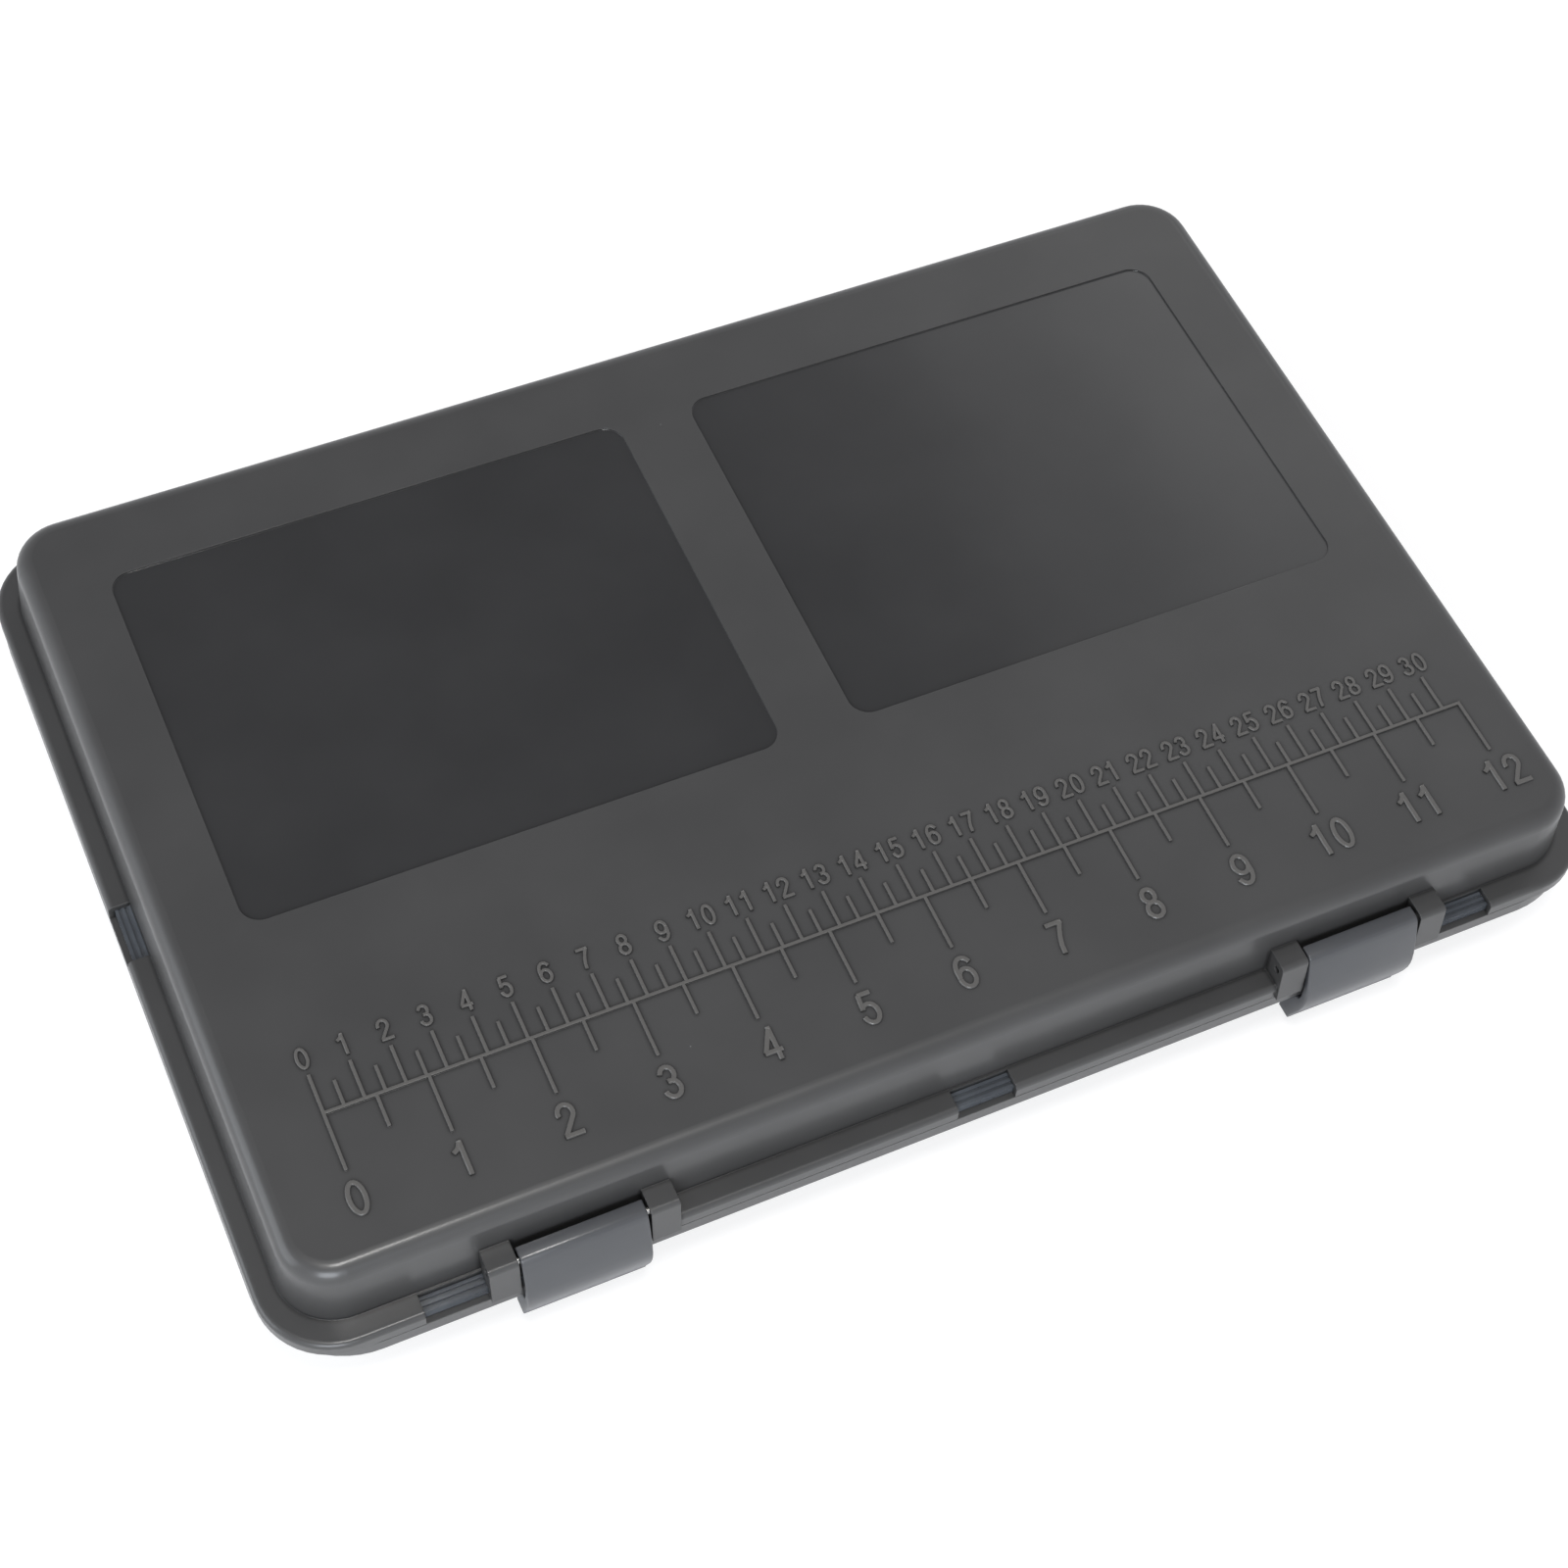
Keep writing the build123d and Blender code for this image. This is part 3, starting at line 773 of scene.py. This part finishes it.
def add_slit_cutter(centre_x, count, top, wide):
    """A row of wedges along Y, narrower at the foot, whose mouths are at the strip's top."""
    start = -(count - 1) / 2 * SLIT_STEP
    low = (centre_x - wide, start - SLIT_MOUTH / 2, top - SLIT_DEPTH)
    high = (centre_x + wide, start + SLIT_MOUTH / 2, top + SLIT_DEPTH * 0.2)
    cutter = add_block("slit_cutter", low, high)
    for vertex in cutter.data.vertices:
        if vertex.co.z < mm(top - SLIT_DEPTH / 2):
            middle = mm(start)
            vertex.co.y = middle + (vertex.co.y - middle) * SLIT_FOOT / SLIT_MOUTH
    row = cutter.modifiers.new("row", "ARRAY")
    row.count = count
    row.use_relative_offset = False
    row.use_constant_offset = True
    row.constant_offset_displace = mm(0.0, SLIT_STEP, 0.0)
    apply_modifiers(cutter)
    return cutter


def make_foam_strip(node_name):
    """A slit foam strip in the place of its plain solid."""
    low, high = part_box(node_name)
    low_mm = [value / MM for value in low]
    high_mm = [value / MM for value in high]
    strip = add_block(node_name + "_slit", low_mm, high_mm)
    count = int((high_mm[1] - low_mm[1]) / SLIT_STEP) + 1
    count -= count % 2
    cutter = add_slit_cutter((low_mm[0] + high_mm[0]) / 2, count, high_mm[2], 20.0)
    cut = strip.modifiers.new("slits", "BOOLEAN")
    cut.operation = "DIFFERENCE"
    cut.solver = "EXACT"
    cut.object = cutter
    soften = strip.modifiers.new("soft_edges", "BEVEL")
    soften.width = mm(FOAM_EDGE)
    soften.segments = 3
    soften.limit_method = "ANGLE"
    apply_modifiers(strip)
    bpy.data.objects.remove(cutter)
    clear_selection()
    strip.select_set(True)
    bpy.context.view_layer.objects.active = strip
    bpy.ops.object.shade_smooth_by_angle(angle=math.radians(40))
    strip.data.materials.append(foam_black)
    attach(strip, "base")
    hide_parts(node_name)
    print(strip.name, count, "slits,", len(strip.data.polygons), "faces")
    return strip


for place in ("left", "centre", "right"):
    make_foam_strip("foam_strip_" + place)

# %% [markdown]
# ## Mats and the lid's liner
#
# Two thin foam mats lie on the floor between the rails, and a thicker sheet is stuck inside the
# lid, where it keeps the rigs in their slits. They are die-cut from sheet, so their corners are
# round and their edges slightly pinched. A block has its four upright edges bevelled for the
# corners, then every edge bevelled a little for the softness.

# %% Mats and liner


def make_foam_sheet(node_name, corner, edge, body, finish):
    """A die-cut foam sheet in the place of its plain solid."""
    low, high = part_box(node_name)
    sheet = add_block(node_name + "_foam", [v / MM for v in low], [v / MM for v in high])
    bpy.ops.object.mode_set(mode="EDIT")
    bpy.ops.mesh.select_mode(type="EDGE")
    bpy.ops.mesh.select_all(action="DESELECT")
    bpy.ops.object.mode_set(mode="OBJECT")
    points = sheet.data.vertices
    for line in sheet.data.edges:
        a, b = (points[i].co for i in line.vertices)
        line.select = abs(a.z - b.z) > abs(a.x - b.x) + abs(a.y - b.y)
    bpy.ops.object.mode_set(mode="EDIT")
    bpy.ops.mesh.bevel(offset=mm(corner), segments=8, affect="EDGES")
    bpy.ops.object.mode_set(mode="OBJECT")
    soften = sheet.modifiers.new("pinched_edges", "BEVEL")
    soften.width = mm(edge)
    soften.segments = 3
    soften.limit_method = "ANGLE"
    soften.angle_limit = math.radians(50)
    apply_modifiers(sheet)
    bpy.ops.object.shade_smooth_by_angle(angle=math.radians(40))
    sheet.data.materials.append(finish)
    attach(sheet, body)
    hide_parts(node_name)
    print(sheet.name, len(sheet.data.polygons), "faces")
    return sheet


make_foam_sheet("base_mat_left", 3.0, 0.4, "base", foam_grey)
make_foam_sheet("base_mat_right", 3.0, 0.4, "base", foam_grey)
make_foam_sheet("lid_liner", 8.0, 0.6, "lid", foam_grey)

# %% [markdown]
# ## Floor, light and background
#
# The box stands on a plain pale floor against white. The floor is matt and carries the soft
# shadow, with a little extra brightness for the camera alone, so that it fades into the white
# background without more light on the box. The room is a mild grey that brightens towards the
# horizon, with one dim and one bright patch high up behind the box: the left panel mirrors the
# dim one and the right panel the bright one. A small lamp overhead draws the crisp line along the
# lid's front edge, and two cool lamps, at the window side and the front left, light the walls.

# %% Floor
FLOOR_HALF = 6000.0

clear_selection()
bpy.ops.mesh.primitive_plane_add(size=mm(FLOOR_HALF * 2), location=(0, 0, mm(-0.05)))
floor = bpy.context.object
floor.name = "floor"
floor_material, floor_tree, floor_shader, floor_place = start_material("floor_white")
floor_shader.inputs["Base Color"].default_value = (0.86, 0.86, 0.86, 1.0)
floor_shader.inputs["Roughness"].default_value = 0.9
floor_shader.inputs["Specular IOR Level"].default_value = 0.1
seen = floor_tree.nodes.new("ShaderNodeLightPath").outputs["Is Camera Ray"]
glow = add_node(floor_tree, "ShaderNodeEmission", {"Color": (1, 1, 1, 1), "Strength": 0.72})
dimmed = add_node(floor_tree, "ShaderNodeBsdfDiffuse", {"Color": (0.34, 0.34, 0.34, 1)})
pair = add_node(floor_tree, "ShaderNodeAddShader", {0: glow.outputs[0], 1: dimmed.outputs[0]})
faces = {0: seen, 1: floor_shader.outputs[0], 2: pair.outputs[0]}
chosen = add_node(floor_tree, "ShaderNodeMixShader", faces)
floor_tree.links.new(chosen.outputs[0], floor_tree.nodes["Material Output"].inputs["Surface"])
floor.data.materials.append(floor_material)
print("floor", FLOOR_HALF * 2, "mm across")

# %% Room
world = bpy.data.worlds.new("studio")
bpy.context.scene.world = world
world.use_nodes = True
room = world.node_tree
room.nodes.clear()
direction = room.nodes.new("ShaderNodeTexCoord").outputs["Generated"]
up = add_node(room, "ShaderNodeSeparateXYZ", {"Vector": direction}).outputs["Z"]
warp = add_node(room, "ShaderNodeTexNoise", {"Vector": direction, "Scale": 3.5, "Detail": 1.0})
ceiling = shades(room, up, (0.95, 0.96, 1.0), (0.42, 0.42, 0.43), 0.05, 0.95)
BRIGHT_AIM = (0.50, 0.60, 0.62)
DIM_AIM = (0.17, 0.56, 0.81)
EDGE_WANDER = 7.0


def room_patch(aim, inner, outer):
    """1 towards aim and 0 further off than outer degrees, with a wandering edge."""
    sockets = {0: direction, 1: Vector(aim).normalized()}
    facing = add_node(room, "ShaderNodeVectorMath", sockets, operation="DOT_PRODUCT").outputs["Value"]
    away = math_node(room, "ARCCOSINE", facing)
    wander = spread(room, warp.outputs["Fac"], -math.radians(EDGE_WANDER), math.radians(EDGE_WANDER))
    away = math_node(room, "ADD", away, wander)
    limits = {"Value": away, "From Min": math.radians(outer), "From Max": math.radians(inner)}
    return add_node(room, "ShaderNodeMapRange", limits).outputs["Result"]


bright_patch = room_patch(BRIGHT_AIM, 4.0, 16.0)
bright = mix_colours(room, bright_patch, ceiling, plain_colour(room, (1.7, 1.7, 1.7)))
dark_patch = room_patch(DIM_AIM, 7.0, 17.0)
toned = mix_colours(room, dark_patch, bright, plain_colour(room, (0.10, 0.10, 0.11)))
ambient = add_node(room, "ShaderNodeBackground", {"Color": toned, "Strength": 1.0})
white = add_node(room, "ShaderNodeBackground", {"Color": (1, 1, 1, 1), "Strength": 1.0})
seen = room.nodes.new("ShaderNodeLightPath").outputs["Is Camera Ray"]
both = add_node(room, "ShaderNodeMixShader", {0: seen, 1: ambient.outputs[0], 2: white.outputs[0]})
output = add_node(room, "ShaderNodeOutputWorld", {"Surface": both.outputs[0]})
print("room", len(room.nodes), "nodes")

# %% Lamps


def add_lamp(name, place, size, power, colour):
    """A square soft lamp that looks at the middle of the box."""
    lamp = bpy.data.lights.new(name, "AREA")
    lamp.shape = "SQUARE"
    lamp.size = mm(size)
    lamp.energy = power
    lamp.color = colour
    holder = bpy.data.objects.new(name, lamp)
    bpy.context.scene.collection.objects.link(holder)
    holder.location = mm(*place)
    holder.rotation_mode = "QUATERNION"
    holder.rotation_quaternion = (-holder.location).to_track_quat("-Z", "Y")
    return holder


add_lamp("lamp_overhead", (-150.0, -350.0, 1500.0), 320.0, 9.0, (1.0, 0.985, 0.965))
add_lamp("lamp_window", (-1500.0, 200.0, 600.0), 1100.0, 10.0, (0.90, 0.95, 1.0))
add_lamp("lamp_front_left", (-700.0, -1300.0, 700.0), 700.0, 15.0, (0.88, 0.93, 1.0))
bpy.context.scene.view_settings.view_transform = "Standard"
